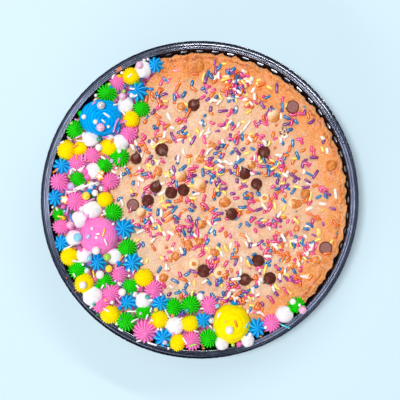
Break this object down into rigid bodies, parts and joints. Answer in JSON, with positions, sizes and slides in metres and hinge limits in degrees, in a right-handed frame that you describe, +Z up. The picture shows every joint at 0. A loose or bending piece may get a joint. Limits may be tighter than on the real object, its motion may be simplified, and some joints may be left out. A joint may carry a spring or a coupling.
{
  "type": "cookie cake",
  "caption": "Round cookie cake in a dark fluted tin, with chocolate and tan chips, sprinkles, and a crescent of piped frosting stars, pearls and large rosettes.",
  "frame": {"origin": "on the tin's axis, at the underside of its base", "axes": "+Z up through the cookie, -X towards the middle of the frosting crescent"},
  "size_m": [0.244, 0.244, 0.0413],
  "materials": {
    "tin": "gloss",
    "cookie": "matte",
    "chocolate": "satin",
    "tan_chip": "satin",
    "frosting_green": "satin",
    "frosting_pink": "satin",
    "frosting_blue": "satin",
    "frosting_yellow": "satin",
    "frosting_white": "satin",
    "sprinkle_blue": "satin",
    "sprinkle_pink": "satin",
    "sprinkle_orange": "satin",
    "sprinkle_purple": "satin",
    "sprinkle_yellow": "satin",
    "sprinkle_white": "satin",
    "sprinkle_green": "satin",
    "pearl": "gloss"
  },
  "bodies": {
    "root": {"tin": "tin", "cookie": "cookie", "choc_chip_01": "chocolate", "choc_chip_02": "chocolate", "choc_chip_03": "chocolate", "choc_chip_04": "chocolate", "choc_chip_05": "chocolate", "choc_chip_06": "chocolate", "choc_chip_07": "chocolate", "choc_chip_08": "chocolate", "choc_chip_09": "chocolate", "choc_chip_10": "chocolate", "choc_chip_11": "chocolate", "choc_chip_12": "chocolate", "choc_chip_13": "chocolate", "choc_chip_14": "chocolate", "choc_chip_15": "chocolate", "choc_chip_16": "chocolate", "choc_chip_17": "chocolate", "choc_chip_18": "chocolate", "choc_chip_19": "chocolate", "tan_chip_01": "tan_chip", "tan_chip_02": "tan_chip", "tan_chip_03": "tan_chip", "tan_chip_04": "tan_chip", "tan_chip_05": "tan_chip", "tan_chip_06": "tan_chip", "tan_chip_07": "tan_chip", "tan_chip_08": "tan_chip", "tan_chip_09": "tan_chip", "tan_chip_10": "tan_chip", "tan_chip_11": "tan_chip", "tan_chip_12": "tan_chip", "tan_chip_13": "tan_chip", "tan_chip_14": "tan_chip", "tan_chip_15": "tan_chip", "tan_chip_16": "tan_chip", "tan_chip_17": "tan_chip", "tan_chip_18": "tan_chip", "tan_chip_19": "tan_chip", "tan_chip_20": "tan_chip", "tan_chip_21": "tan_chip", "tan_chip_22": "tan_chip", "tan_chip_23": "tan_chip", "tan_chip_24": "tan_chip", "tan_chip_25": "tan_chip", "frosting_crescent": "frosting_pink", "frosting_tail": "frosting_blue", "rosette_blue": "frosting_blue", "rosette_pink": "frosting_pink", "rosette_yellow": "frosting_yellow"}
  },
  "joints": []
}
